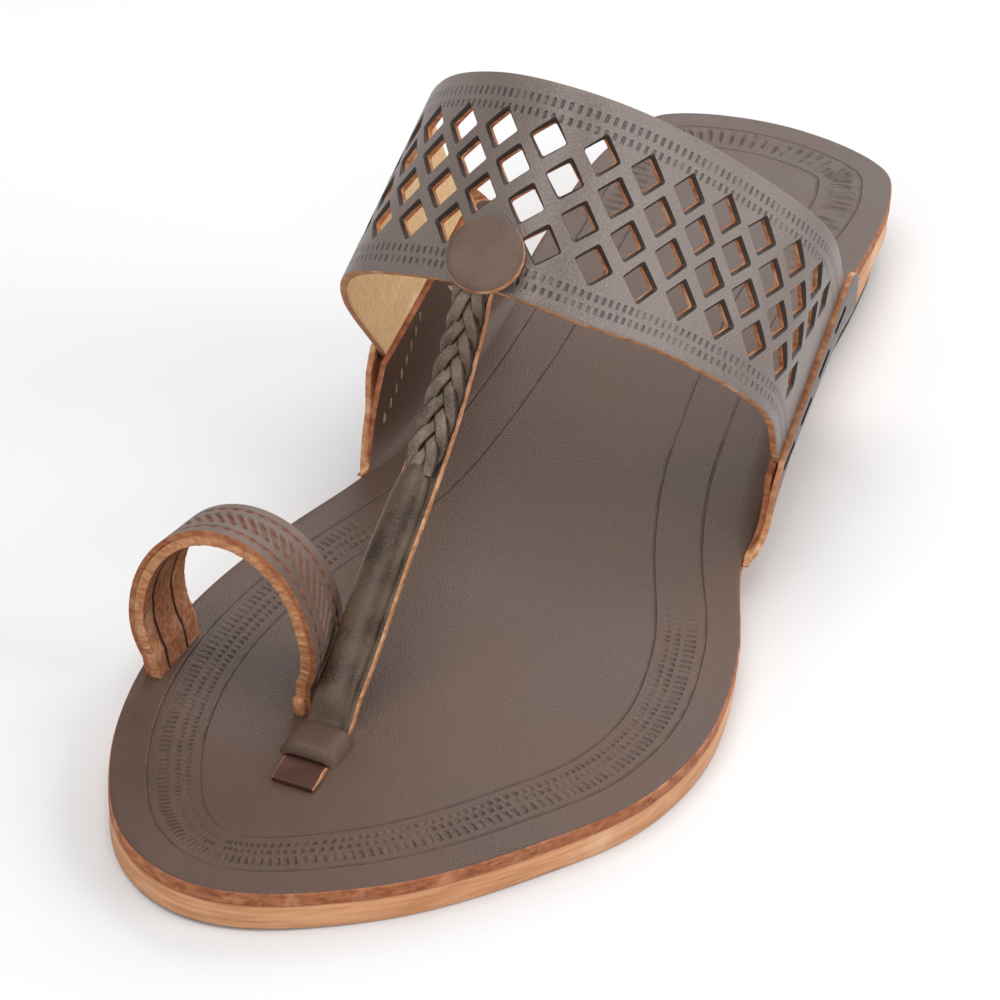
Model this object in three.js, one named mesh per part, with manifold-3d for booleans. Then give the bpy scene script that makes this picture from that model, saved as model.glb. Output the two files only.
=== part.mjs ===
// A kolhapuri sandal for the left foot. A thin leather insole lies on a thicker outsole and a stacked
// heel. Its sides fold up at the waist into ears, a broad band over the instep is held between the
// ears and an outer leather on each side, and a toe strap and a toe ring pass down through slits.
// Millimetres, +Z up, toes towards -Y, the big-toe side (medial) towards -X.
import * as THREE from 'three';
import { mergeVertices } from 'three/addons/utils/BufferGeometryUtils.js';
import Module from 'manifold-3d';

const wasm = await Module();
wasm.setup();

// Driving dimensions
const soleLength = 270;
const ballWidth = 95.5;
const heelRise = 10.5;        // underside of the outsole above the floor at the heel
const toeSpring = 0.6;
const heelDip = 2;            // the seat sinks a little towards the back of the heel
const insoleThickness = 2.4;
const outsoleThickness = 4.8;
const gap = 0.3;              // between two leathers that touch
const bandFrontHeight = 73.6; // crown of the band at its front edge
const bandWall = 1.8;
const earWall = 1.4;

// Outline of the insole: at is the fraction of the length from the toe tip, and the two half-widths
// are fractions of the ball width from the line that runs from toe to heel
const outline = [
  { at: 0, medial: 0.042, lateral: -0.042 },
  { at: 0.025, medial: 0.207, lateral: 0.149 },
  { at: 0.07, medial: 0.297, lateral: 0.304 },
  { at: 0.13, medial: 0.365, lateral: 0.438 },
  { at: 0.2, medial: 0.402, lateral: 0.555 },
  { at: 0.28, medial: 0.401, lateral: 0.596 },
  { at: 0.37, medial: 0.358, lateral: 0.557 },
  { at: 0.46, medial: 0.285, lateral: 0.467 },
  { at: 0.55, medial: 0.261, lateral: 0.422 },
  { at: 0.65, medial: 0.26, lateral: 0.383 },
  { at: 0.75, medial: 0.286, lateral: 0.356 },
  { at: 0.86, medial: 0.314, lateral: 0.333 },
  { at: 0.93, medial: 0.304, lateral: 0.302 },
  { at: 0.975, medial: 0.254, lateral: 0.236 },
  { at: 1, medial: 0.01, lateral: -0.01 },
];

const lerp = THREE.MathUtils.lerp;
const smooth = THREE.MathUtils.smoothstep;
const point = (x, y, z) => new THREE.Vector3(x, y, z);
const steps = (count) => Array.from({ length: count + 1 }, (_, i) => i / count);

// Value of a table's column at a place, by a smooth curve through its rows
function column(rows, key, name, where) {
  let i = 0;
  while (i < rows.length - 2 && rows[i + 1][key] < where) i += 1;
  const slope = (k) => {
    const low = rows[Math.max(k - 1, 0)];
    const high = rows[Math.min(k + 1, rows.length - 1)];
    return (high[name] - low[name]) / (high[key] - low[key]);
  };
  const span = rows[i + 1][key] - rows[i][key];
  const t = (where - rows[i][key]) / span;
  const bend = t * t * (3 - 2 * t);
  return lerp(rows[i][name], rows[i + 1][name], bend)
    + span * t * (1 - t) * ((1 - t) * slope(i) - t * slope(i + 1));
}

// The outline is read by angle, so that toe and heel come out round
const angleOf = (at) => Math.acos(THREE.MathUtils.clamp(1 - 2 * at, -1, 1));
const outlineByAngle = outline.map((row) => ({ ...row, angle: angleOf(row.at) }));
const yAt = (at) => (at - 0.5) * soleLength;
const atY = (y) => y / soleLength + 0.5;

function edgeX(side, y) {
  const angle = angleOf(atY(y));
  const name = side < 0 ? 'medial' : 'lateral';
  return side * ballWidth * column(outlineByAngle, 'angle', name, angle);
}

// Heights of the sole along the foot
const archStart = -36;
const archEnd = 66;
const dipStart = 75;
const springStart = -115;

function underside(y) {
  const spring = Math.max(0, (springStart - y) / (springStart + soleLength / 2));
  const dip = heelDip * smooth(y, dipStart, soleLength / 2);
  return heelRise * smooth(y, archStart, archEnd) - dip + toeSpring * spring ** 2;
}
const outsoleTop = (y) => underside(y) + outsoleThickness;
const insoleBottom = (y) => outsoleTop(y) + gap;
const insoleTop = (y) => insoleBottom(y) + insoleThickness;

// A closed solid between two faces, each a grid of points
function shell(outer, inner) {
  const rows = outer.length;
  const cols = outer[0].length;
  const at = (side, i, j) => (side * rows + i) * cols + j;
  const index = [];
  const quad = (a, b, c, d) => index.push(a, b, c, a, c, d);
  for (let i = 0; i < rows - 1; i += 1) {
    for (let j = 0; j < cols - 1; j += 1) {
      quad(at(0, i, j), at(0, i + 1, j), at(0, i + 1, j + 1), at(0, i, j + 1));
      quad(at(1, i, j), at(1, i, j + 1), at(1, i + 1, j + 1), at(1, i + 1, j));
    }
    quad(at(0, i, 0), at(1, i, 0), at(1, i + 1, 0), at(0, i + 1, 0));
    quad(at(0, i, cols - 1), at(0, i + 1, cols - 1), at(1, i + 1, cols - 1), at(1, i, cols - 1));
  }
  for (let j = 0; j < cols - 1; j += 1) {
    quad(at(0, 0, j), at(0, 0, j + 1), at(1, 0, j + 1), at(1, 0, j));
    quad(at(0, rows - 1, j), at(1, rows - 1, j), at(1, rows - 1, j + 1), at(0, rows - 1, j + 1));
  }
  const points = [...outer.flat(), ...inner.flat()];
  let volume = 0;
  for (let k = 0; k < index.length; k += 3) {
    const [a, b, c] = [points[index[k]], points[index[k + 1]], points[index[k + 2]]];
    volume += a.dot(b.clone().cross(c));
  }
  if (volume < 0) index.reverse();
  const geometry = new THREE.BufferGeometry().setFromPoints(points);
  geometry.setIndex(index);
  return geometry;
}

function toSolid(geometry) {
  const bare = geometry.index ? geometry.toNonIndexed() : geometry.clone();
  bare.deleteAttribute('normal');
  bare.deleteAttribute('uv');
  const merged = mergeVertices(bare, 1e-4);
  return new wasm.Manifold(new wasm.Mesh({
    numProp: 3,
    vertProperties: new Float32Array(merged.attributes.position.array),
    triVerts: new Uint32Array(merged.index.array),
  }));
}

function toGeometry(solid) {
  const mesh = solid.getMesh();
  const geometry = new THREE.BufferGeometry();
  geometry.setAttribute('position', new THREE.BufferAttribute(mesh.vertProperties, 3));
  geometry.setIndex(new THREE.BufferAttribute(mesh.triVerts, 1));
  return geometry;
}

const join = (first, ...rest) => rest.reduce((solid, next) => solid.add(toSolid(next)), toSolid(first));

// A leather plate of the sole between two heights, inset from the outline, from one y to another
function plate({ from, to, bottom, top, inset, count }) {
  const angles = [angleOf(atY(from)), angleOf(atY(to))];
  const face = (height) => steps(count).map((t) => {
    const at = (1 - Math.cos(lerp(angles[0], angles[1], t))) / 2;
    const y = yAt(at);
    const medial = edgeX(-1, y);
    const lateral = edgeX(1, y);
    const half = (lateral - medial) / 2;
    const slip = inset(y);
    const width = Math.max(half - slip, half * 0.4);
    const middle = (medial + lateral) / 2;
    const pulled = y * (1 - 2 * slip / soleLength);
    return [-1, 1].map((side) => point(middle + side * width, pulled, height(pulled)));
  });
  return shell(face(top), face(bottom));
}

const tipClearance = 0.03;
const toeTip = -soleLength / 2 + tipClearance;
const heelTip = soleLength / 2 - tipClearance;

// The band over the instep, as sections from its medial end over the crown to its lateral end. Each
// section runs from the front edge to the rear edge: x is sideways from the crown, along is measured
// up the band's axis, which climbs towards the heel, and drop is square to that axis, from the crown.
const climb = THREE.MathUtils.degToRad(40);
const bandSections = [
  { at: 0, frontX: -36.2, frontAlong: 2.6, frontDrop: 62.2, rearX: -36.8, rearAlong: 40, rearDrop: 77.6 },
  { at: 1, frontX: -37, frontAlong: 1.9, frontDrop: 35.1, rearX: -36, rearAlong: 41, rearDrop: 40.6 },
  { at: 2, frontX: -30, frontAlong: 1.7, frontDrop: 16.8, rearX: -25.5, rearAlong: 39.4, rearDrop: 14.1 },
  { at: 3, frontX: -13.8, frontAlong: 1.4, frontDrop: 6.7, rearX: -11.1, rearAlong: 38.3, rearDrop: 0.2 },
  { at: 4, frontX: 2.7, frontAlong: 0, frontDrop: 0, rearX: 4.1, rearAlong: 37.6, rearDrop: -2.9 },
  { at: 5, frontX: 15.6, frontAlong: -0.1, frontDrop: 4.2, rearX: 16.2, rearAlong: 39.5, rearDrop: 7.6 },
  { at: 6, frontX: 28.4, frontAlong: 2.8, frontDrop: 18.6, rearX: 28.2, rearAlong: 41.4, rearDrop: 26.1 },
  { at: 7, frontX: 39.6, frontAlong: 4.6, frontDrop: 41.1, rearX: 38.2, rearAlong: 41.7, rearDrop: 46.5 },
  { at: 8, frontX: 37.8, frontAlong: 4.6, frontDrop: 69, rearX: 36.8, rearAlong: 42, rearDrop: 73.5 },
];
const tuck = 4.5;             // how far each end goes down between the ears
const bandAxis = point(0, Math.cos(climb), Math.sin(climb));
const bandUp = point(0, -Math.sin(climb), Math.cos(climb));
const bandStart = point(5.5, -44.8, bandFrontHeight);

// A point of the band's middle surface, w from 0 at the front edge to 1 at the rear edge
function bandPoint(at, w, extra = 0) {
  const read = (name) => lerp(
    column(bandSections, 'at', `front${name}`, at),
    column(bandSections, 'at', `rear${name}`, at),
    w,
  );
  return bandStart.clone()
    .add(point(read('X'), 0, 0))
    .addScaledVector(bandAxis, read('Along'))
    .addScaledVector(bandUp, -read('Drop') - extra);
}

function bandNormal(at, w) {
  const step = 0.02;
  const last = bandSections.length - 1;
  const across = bandPoint(Math.min(at + step, last), w).sub(bandPoint(Math.max(at - step, 0), w));
  return across.cross(bandAxis).negate().normalize();
}

function bandGeometry() {
  const last = bandSections.length - 1;
  const across = [
    { at: 0, extra: tuck },
    ...steps(38).map((t) => ({ at: last * t, extra: 0 })),
    { at: last, extra: tuck },
  ];
  const face = (lift) => across.map(({ at, extra }) => steps(4).map((w) => (
    bandPoint(at, w, extra).addScaledVector(bandNormal(at, w), lift)
  )));
  return shell(face(bandWall / 2), face(-bandWall / 2));
}

// Each ear seen from the side: where its foot starts and ends on the sole, and its top edge, from the
// front of the band to the back of the ear
const ears = {
  medial: {
    side: -1,
    foot: [-15, 51],
    rim: [
      { t: 0, y: -2.8, z: 28 },
      { t: 0.4, y: 16.5, z: 34.5 },
      { t: 0.76, y: 36.2, z: 41 },
      { t: 0.86, y: 41, z: 40 },
      { t: 0.94, y: 45.5, z: 35 },
      { t: 1, y: 48.5, z: 25 },
    ],
  },
  lateral: {
    side: 1,
    foot: [-11, 51],
    rim: [
      { t: 0, y: 3.3, z: 24.2 },
      { t: 0.4, y: 18, z: 34.2 },
      { t: 0.76, y: 34.8, z: 45 },
      { t: 0.86, y: 39.5, z: 43.5 },
      { t: 0.94, y: 44, z: 37 },
      { t: 1, y: 47, z: 26 },
    ],
  },
};

// Middle line of the toe strap, from the end of its tab, under the bridge of the insole, up the
// foot and over the front edge of the band. lift is the height of the plait above the backing.
const strapWall = 1.9;
const strapPath = [
  { x: -0.8, y: -104.8, z: 8.95, half: 3.8, lift: 0 },
  { x: -1, y: -100.4, z: 8.95, half: 3.9, lift: 0 },
  { x: -1.3, y: -98.1, z: 7.5, half: 4, lift: 0 },
  { x: -1.5, y: -95.8, z: 6.35, half: 4, lift: 0 },
  { x: -1.7, y: -91.8, z: 6.35, half: 4, lift: 0 },
  { x: -1.7, y: -88.8, z: 6.5, half: 4, lift: 0 },
  { x: -1.6, y: -86.4, z: 8.3, half: 4, lift: 0.3 },
  { x: -1.5, y: -83.2, z: 12.4, half: 4, lift: 1.8 },
  { x: -1.2, y: -77.6, z: 17.9, half: 3.9, lift: 2.2 },
  { x: -0.5, y: -68, z: 30, half: 3.8, lift: 2.3 },
  { x: 0.4, y: -58.4, z: 40.6, half: 3.5, lift: 2.4 },
  { x: 1.4, y: -50.8, z: 51.8, half: 3.3, lift: 2.4 },
  { x: 2.3, y: -47, z: 61.6, half: 3.2, lift: 2.2 },
  { x: 3.2, y: -46.2, z: 68, half: 3.2, lift: 1.5 },
  { x: 3.7, y: -46.2, z: 72.4, half: 3.2, lift: 0.6 },
  { x: 4, y: -44.2, z: 76.4, half: 3.2, lift: 0.2 },
  { x: 4.2, y: -39.8, z: 80, half: 3.2, lift: 0 },
];

function strapGeometry() {
  const curve = new THREE.CatmullRomCurve3(strapPath.map(({ x, y, z }) => point(x, y, z)));
  const count = (strapPath.length - 1) * 3;
  const rows = steps(count).map((t) => {
    const here = curve.getPoint(t);
    const along = curve.getTangent(t);
    const normal = along.clone().cross(point(1, 0, 0)).normalize().negate();
    const place = t * (strapPath.length - 1);
    const k = Math.min(Math.floor(place), strapPath.length - 2);
    const between = (name) => lerp(strapPath[k][name], strapPath[k + 1][name], place - k);
    return { here, normal, half: between('half'), lift: between('lift') };
  });
  const face = (height) => rows.map((row) => steps(8).map((s) => {
    const across = 2 * s - 1;
    return row.here.clone()
      .add(point(across * row.half, 0, 0))
      .addScaledVector(row.normal, height(row, across));
  }));
  const crown = (row, across) => strapWall / 2 + row.lift * Math.sqrt(Math.max(0, 1 - across ** 2));
  return shell(face(crown), face(() => -strapWall / 2));
}

// Toe ring: a flat strip bent round, whose ends go down through slits in the insole
const ring = {
  frontCentre: -22.1,
  rearCentre: -22.9,
  centreHeight: 20,
  frontHalf: 17.4,
  rearHalf: 16.3,
  feet: [-35.6, -7],
  frontTop: 21.3,
  rearTop: 17.3,
  drop: 17,          // the lower part of the loop, below the centre
  front: -87.5,
  rear: -72.5,
  wall: 2.8,
  reach: THREE.MathUtils.degToRad(40),
  neck: 0.6,         // each foot stands upright this far above the insole
};
const slitGap = 0.35;
const slitDepth = 6;

function ringGeometry() {
  const foot = outsoleTop(ring.front) + gap;
  const face = (inward) => {
    const turn = (angle) => steps(3).map((t) => {
      const top = lerp(ring.frontTop, ring.rearTop, t) - inward;
      const radius = Math.sin(angle) > 0 ? top : ring.drop - inward * 0.3;
      const half = lerp(ring.frontHalf, ring.rearHalf, t) - inward;
      const x = lerp(ring.frontCentre, ring.rearCentre, t) + half * Math.cos(angle);
      return point(x, lerp(ring.front, ring.rear, t), ring.centreHeight + radius * Math.sin(angle));
    });
    const loop = steps(36).map((t) => turn(lerp(Math.PI + ring.reach, -ring.reach, t)));
    const end = (k, height) => loop[0].map(({ y }) => {
      const x = ring.feet[k] + (k ? -1 : 1) * inward;
      return point(x, y, height(y));
    });
    const above = (y) => insoleTop(y) + ring.neck;
    return [end(0, () => foot), end(0, above), ...loop.slice(1, -1), end(1, above), end(1, () => foot)];
  };
  return shell(face(0), face(ring.wall));
}

// Side view of an ear at t along it and j up it, j = 0 on the insole
function earPlace(ear, t, j) {
  const footY = lerp(ear.foot[0], ear.foot[1], t);
  const rimY = column(ear.rim, 't', 'y', t);
  const rimZ = column(ear.rim, 't', 'z', t);
  return { footY, y: lerp(footY, rimY, Math.sqrt(Math.max(j, 0))), z: lerp(insoleTop(footY), rimZ, j) };
}
const earRows = steps(8).map((h) => h * h);

// Sideways place of the band's end at t along an ear
const bandBack = 0.76;        // the band's rear edge, as t along an ear
function legX(side, t) {
  const row = side < 0 ? bandSections[0] : bandSections[bandSections.length - 1];
  return bandStart.x + lerp(row.frontX, row.rearX, Math.min(t / bandBack, 1));
}
const slantGap = 0.65;        // a gap measured sideways between leathers that lean
const layerStep = (bandWall + earWall) / 2 + slantGap;
const earClosing = (t) => smooth(t, 0.84, 1);
const closedLean = 2;         // how far the closed rear corner leans out over the edge

// Where the middle of the inner ear's leather stands
function innerEarX({ side }, t, j, footY) {
  const foot = edgeX(side, footY) - side * earWall / 2;
  const rim = lerp(legX(side, t) - side * layerStep, foot + side * closedLean, earClosing(t));
  return lerp(foot, rim, Math.max(j, 0) ** 0.9);
}

// Inner ear, folded up from the insole; its lowest row is rooted in the plate
function innerEarGeometry(ear) {
  const face = (offset) => steps(24).map((t) => [-0.05, ...earRows].map((j) => {
    const { footY, y, z } = earPlace(ear, t, j);
    return point(innerEarX(ear, t, j, footY) + ear.side * offset, y, z);
  }));
  return shell(face(earWall / 2), face(-earWall / 2));
}

// Outer ear, laid on the outside of the insole's edge, of the inner ear and of the band's leg
const earSkirt = 2.4;         // how far it hangs below the top of the insole
const legEnd = 0.6;           // how far up the ear the band's leg ends
function outerEarGeometry(ear) {
  const { side } = ear;
  const face = (offset) => steps(24).map((t) => {
    const row = (j, hang) => {
      const { footY, y, z } = earPlace(ear, t, j);
      const hug = side * innerEarX(ear, t, j, footY) + earWall + slantGap;
      const edge = side * edgeX(side, footY);
      const over = lerp(edge, side * legX(side, t) + layerStep, Math.min(j / legEnd, 1));
      const x = Math.max(hug, lerp(over, hug, earClosing(t)));
      return point(side * (x + offset), y, z - hang);
    };
    return [row(0, earSkirt), ...earRows.map((j) => row(j, 0))];
  });
  return shell(face(earWall / 2), face(-earWall / 2));
}

const box = (low, high) => {
  const geometry = new THREE.BoxGeometry(high[0] - low[0], high[1] - low[1], high[2] - low[2]);
  return geometry.translate((low[0] + high[0]) / 2, (low[1] + high[1]) / 2, (low[2] + high[2]) / 2);
};

// Bridge: a hump of the insole under which the end of the strap passes
const bridge = {
  front: -96.2,
  back: -89.2,
  centre: -1.6,
  halfWidth: 8,
  crown: 10,
  tunnelFront: -101.2,
  tunnelBack: -84.2,
  tunnelCentre: -1.3,
  tunnelHalf: 4.7,
  tunnelTop: 7.75,
};

function bridgeGeometry() {
  const face = (height) => steps(4).map((t) => steps(14).map((s) => {
    const across = 2 * s - 1;
    const x = bridge.centre + across * bridge.halfWidth;
    return point(x, lerp(bridge.front, bridge.back, t), height(across));
  }));
  const base = insoleTop(bridge.front);
  const hump = (across) => base + (bridge.crown - base) * (1 - Math.abs(across) ** 3.5);
  return shell(face(hump), face(() => base - 1));
}

function insoleGeometry() {
  const base = plate({
    from: toeTip, to: heelTip, bottom: insoleBottom, top: insoleTop, inset: () => 0, count: 56,
  });
  const low = insoleBottom(bridge.front) - 1;
  const strapSlot = box(
    [bridge.tunnelCentre - bridge.tunnelHalf, bridge.tunnelFront, low],
    [bridge.tunnelCentre + bridge.tunnelHalf, bridge.tunnelBack, bridge.tunnelTop],
  );
  const ringSlots = ring.feet.map((outer, k) => {
    const inner = outer + (k ? -1 : 1) * ring.wall;
    const xs = [outer, inner].sort((a, b) => a - b);
    return box(
      [xs[0] - slitGap, ring.front - slitGap, low],
      [xs[1] + slitGap, ring.rear + slitGap, low + slitDepth],
    );
  });
  let solid = join(base, innerEarGeometry(ears.medial), innerEarGeometry(ears.lateral), bridgeGeometry());
  for (const cut of [strapSlot, ...ringSlots]) solid = solid.subtract(toSolid(cut));
  return toGeometry(solid);
}

// The button that hides where the strap is sewn to the band
const button = { radius: 6.8, wall: 2, dome: 0.5, along: 4.6, x: 4.6, lift: 3.4 };

function buttonMesh(material) {
  const { radius, wall, dome } = button;
  const profile = [[0, 0], [radius, 0], [radius, wall - dome], [radius * 0.6, wall], [0, wall]]
    .map(([r, h]) => new THREE.Vector2(r, h));
  const geometry = new THREE.LatheGeometry(profile, 32).rotateX(Math.PI / 2);
  const mesh = new THREE.Mesh(geometry, material);
  const seat = bandStart.clone()
    .addScaledVector(bandAxis, button.along)
    .addScaledVector(bandUp, button.lift);
  mesh.position.set(button.x, seat.y, seat.z);
  mesh.rotation.x = climb;
  return mesh;
}

// Sole and heel
const waistInset = (y) => 0.15 + 1.6 * smooth(y, -25, 0) * (1 - smooth(y, 50, 75));
const heelBreast = 54;
const topLift = 2.5;
const lifts = 2;
const heelTaper = 0.16;       // inset of the heel for each millimetre below the outsole

const heelInset = (height) => () => 0.6 + heelTaper * (heelRise - height);

function liftPlate(low, high) {
  return plate({
    from: heelBreast, to: heelTip, bottom: () => low, top: high, inset: heelInset(low), count: 26,
  });
}

const leather = (colour, roughness = 0.6) => new THREE.MeshStandardMaterial({ color: colour, roughness });
const darkLeather = leather(0x5f514b);
const soleLeather = leather(0xc98a5c, 0.7);
const rubber = leather(0x2e3133, 0.85);

const group = new THREE.Group();

function add(name, geometry, material) {
  const mesh = new THREE.Mesh(geometry, material);
  mesh.name = name;
  group.add(mesh);
}

add('outsole', plate({
  from: toeTip, to: heelTip, bottom: underside, top: outsoleTop, inset: waistInset, count: 56,
}), soleLeather);
add('insole', insoleGeometry(), darkLeather);
add('outer_ear_medial', outerEarGeometry(ears.medial), darkLeather);
add('outer_ear_lateral', outerEarGeometry(ears.lateral), darkLeather);

add('heel_top_lift', liftPlate(0, () => topLift), rubber);
const liftStep = (heelRise - topLift) / lifts;
for (let i = 0; i < lifts; i += 1) {
  const low = topLift + i * liftStep + gap;
  const high = (y) => Math.min(low + liftStep - gap, underside(y) - gap);
  add(`heel_lift_${i + 1}`, liftPlate(low, high), soleLeather);
}

add('upper', toGeometry(join(bandGeometry(), strapGeometry())), darkLeather);
add('toe_ring', ringGeometry(), darkLeather);

const buttonPiece = buttonMesh(darkLeather);
buttonPiece.name = 'button';
group.add(buttonPiece);

// The origin is under the middle of the sandal's box, on the floor
const bounds = new THREE.Box3().setFromObject(group);
const middle = bounds.getCenter(new THREE.Vector3());
group.position.set(-middle.x, -middle.y, -bounds.min.z);

export default group;
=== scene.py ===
import math

import bmesh
import bpy
from mathutils import Matrix, Vector
from mathutils.kdtree import KDTree


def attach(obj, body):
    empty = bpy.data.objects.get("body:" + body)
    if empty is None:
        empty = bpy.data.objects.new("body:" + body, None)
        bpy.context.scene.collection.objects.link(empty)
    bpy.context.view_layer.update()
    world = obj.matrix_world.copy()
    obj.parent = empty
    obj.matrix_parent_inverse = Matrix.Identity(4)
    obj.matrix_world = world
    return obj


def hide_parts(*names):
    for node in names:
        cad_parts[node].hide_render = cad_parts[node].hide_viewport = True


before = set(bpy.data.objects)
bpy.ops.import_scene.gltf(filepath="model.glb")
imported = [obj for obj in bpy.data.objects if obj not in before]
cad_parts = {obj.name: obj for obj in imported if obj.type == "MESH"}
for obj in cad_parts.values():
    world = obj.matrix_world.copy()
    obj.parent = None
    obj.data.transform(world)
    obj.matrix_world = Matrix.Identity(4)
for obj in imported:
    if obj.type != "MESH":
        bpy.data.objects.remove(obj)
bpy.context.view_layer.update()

# Left kolhapuri sandal. Sizes are in millimetres until place() turns them into the frame's metres.
scene = bpy.context.scene
mm = 0.001
lineX = -8.716  # the line from toe to heel stands this far from the middle of the box
soleLength = 270.0
ballWidth = 95.5


def place(x, y, z):
    return Vector(((x + lineX) * mm, y * mm, z * mm))


def mix(a, b, t):
    return a + (b - a) * t


def smoothStep(value, low, high):
    t = min(max((value - low) / (high - low), 0.0), 1.0)
    return t * t * (3 - 2 * t)


def column(table, key, name, where):
    # value of one column of a table, by a smooth curve through its rows
    keys, values = table[key], table[name]
    last = len(keys) - 1
    i = 0
    while i < last - 1 and keys[i + 1] < where:
        i += 1

    def slope(k):
        low, high = max(k - 1, 0), min(k + 1, last)
        return (values[high] - values[low]) / (keys[high] - keys[low])

    span = keys[i + 1] - keys[i]
    t = (where - keys[i]) / span
    bend = t * t * (3 - 2 * t)
    lean = span * t * (1 - t) * ((1 - t) * slope(i) - t * slope(i + 1))
    return mix(values[i], values[i + 1], bend) + lean


# shapes shared by several pieces

outline = {  # half-widths as fractions of the ball width, at fractions of the length from the toe tip
    "at": [0, 0.025, 0.07, 0.13, 0.2, 0.28, 0.37, 0.46, 0.55, 0.65, 0.75, 0.86, 0.93, 0.975, 1],
    "medial": [0.042, 0.207, 0.297, 0.365, 0.402, 0.401, 0.358, 0.285,
               0.261, 0.26, 0.286, 0.314, 0.304, 0.254, 0.01],
    "lateral": [-0.042, 0.149, 0.304, 0.438, 0.555, 0.596, 0.557, 0.467,
                0.422, 0.383, 0.356, 0.333, 0.302, 0.236, -0.01],
}
outline["angle"] = [math.acos(1 - 2 * at) for at in outline["at"]]


def edgeX(side, y):
    angle = math.acos(min(max(-2 * y / soleLength, -1.0), 1.0))
    return side * ballWidth * column(outline, "angle", "medial" if side < 0 else "lateral", angle)


sole = {"heelRise": 10.5, "heelDip": 2.0, "toeSpring": 0.6, "outsole": 4.8, "gap": 0.3, "insole": 2.4}


def underside(y):
    spring = max(0.0, (-115 - y) / 20)
    rise = sole["heelRise"] * smoothStep(y, -36, 66) - sole["heelDip"] * smoothStep(y, 75, 135)
    return rise + sole["toeSpring"] * spring ** 2


def outsoleTop(y):
    return underside(y) + sole["outsole"]


def insoleTop(y):
    return outsoleTop(y) + sole["gap"] + sole["insole"]


climb = math.radians(40)
bandAxis = Vector((0, math.cos(climb), math.sin(climb)))
bandUp = Vector((0, -math.sin(climb), math.cos(climb)))
bandStart = Vector((5.5, -44.8, 73.6))
bandTable = {  # sections of the band from its medial end over the crown to its lateral end
    "at": [0, 1, 2, 3, 4, 5, 6, 7, 8],
    "frontX": [-37.2, -36.3, -29.7, -13.8, 2.7, 15.6, 28.4, 40.5, 38.9],
    "frontAlong": [2.6, 1.9, 1.7, 1.4, 0, -0.1, 2.8, 4.6, 4.6],
    "frontDrop": [62.2, 35.1, 16.8, 6.7, 0, 4.2, 18.6, 41.1, 69],
    "rearX": [-38, -35.4, -25.3, -11.1, 4.1, 16.2, 28.6, 39.3, 38.4],
    "rearAlong": [40, 41, 39.4, 38.3, 37.6, 39.5, 41.4, 41.7, 42],
    "rearDrop": [77.6, 40.6, 14.1, 0.2, -2.9, 7.6, 26.1, 46.5, 73.5],
}
legStep = 24.0  # length of leg that one step of at stands for, past the table's ends


def bandPoint(at, w):
    # w runs from 0 at the front edge to 1 at the rear edge; past the ends the legs go straight on
    inside = min(max(at, 0.0), 8.0)

    def read(name):
        front = column(bandTable, "at", "front" + name, inside)
        return mix(front, column(bandTable, "at", "rear" + name, inside), w)

    drop = read("Drop") + abs(at - inside) * legStep
    return bandStart + Vector((read("X"), 0, 0)) + bandAxis * read("Along") - bandUp * drop


def bandFrame(at, w):
    here = bandPoint(at, w)
    along = (bandPoint(at + 0.02, w) - bandPoint(at - 0.02, w)).normalized()
    rearward = (bandPoint(at, w + 0.02) - bandPoint(at, w - 0.02)).normalized()
    outward = along.cross(rearward).normalized()
    return here, along, outward


ears = {
    "medial": {
        "side": -1, "foot": (-16, 51), "bend": 2.0, "innerDrop": 2.5, "belly": 1.3,
        "t": [0, 0.4, 0.76, 0.86, 0.94, 1],
        "y": [-2.8, 16.5, 36.2, 41, 45.5, 48.5],
        "z": [28, 34.5, 41, 40, 35, 25],
    },
    "lateral": {
        "side": 1, "foot": (-11, 51), "bend": 3.5, "innerDrop": 4.0, "belly": 1.3,
        "t": [0, 0.4, 0.76, 0.86, 0.94, 1],
        "y": [3.3, 18, 34.8, 39.5, 44, 47],
        "z": [24.2, 34.2, 45, 43.5, 37, 26],
    },
}
earWall = 1.1
bandWall = 1.5
slantGap = 0.05


def earPlace(ear, t, j):
    footY = mix(ear["foot"][0], ear["foot"][1], t)
    y = mix(footY, column(ear, "t", "y", t), math.sqrt(max(j, 0.0)))
    return footY, y, mix(insoleTop(footY), column(ear, "t", "z", t), j)


def legX(side, t):
    row = 0 if side < 0 else 8
    return bandStart.x + mix(bandTable["frontX"][row], bandTable["rearX"][row], min(t / 0.76, 1.0))


def innerEarX(ear, t, j, footY):
    side = ear["side"]
    foot = edgeX(side, footY) - side * earWall / 2
    step = (bandWall + earWall) / 2 + slantGap
    rim = mix(legX(side, t) - side * step, foot + side * 2, smoothStep(t, 0.84, 1))
    belly = side * ear["belly"] * math.sin(math.pi * max(j, 0.0) ** 0.6) * (1 - smoothStep(t, 0.7, 1))
    return mix(foot, rim, max(j, 0.0) ** 0.75) + belly


# helpers that make, thicken and punch a mesh

def gridMesh(columns, rows, placeAt, uvAt):
    # a grid whose corner (u, v), each from 0 to 1, goes where placeAt says
    bm = bmesh.new()
    bmesh.ops.create_grid(bm, x_segments=columns, y_segments=rows, size=1)
    corners = {v: ((v.co.x + 1) / 2, (v.co.y + 1) / 2) for v in bm.verts}
    layer = bm.loops.layers.uv.new("leather")
    for face in bm.faces:
        for loop in face.loops:
            loop[layer].uv = uvAt(*corners[loop.vert])
    for vert, (u, v) in corners.items():
        vert.co = placeAt(u, v)
    return bm


def makePiece(name, bm, materials, node, sharp=35):
    mesh = bpy.data.meshes.new(name)
    bm.to_mesh(mesh)
    bm.free()
    for material in materials:
        mesh.materials.append(material)
    piece = bpy.data.objects.new(name, mesh)
    scene.collection.objects.link(piece)
    shadeSmooth(piece, sharp)
    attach(piece, "root")
    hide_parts(node)
    return piece


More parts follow.
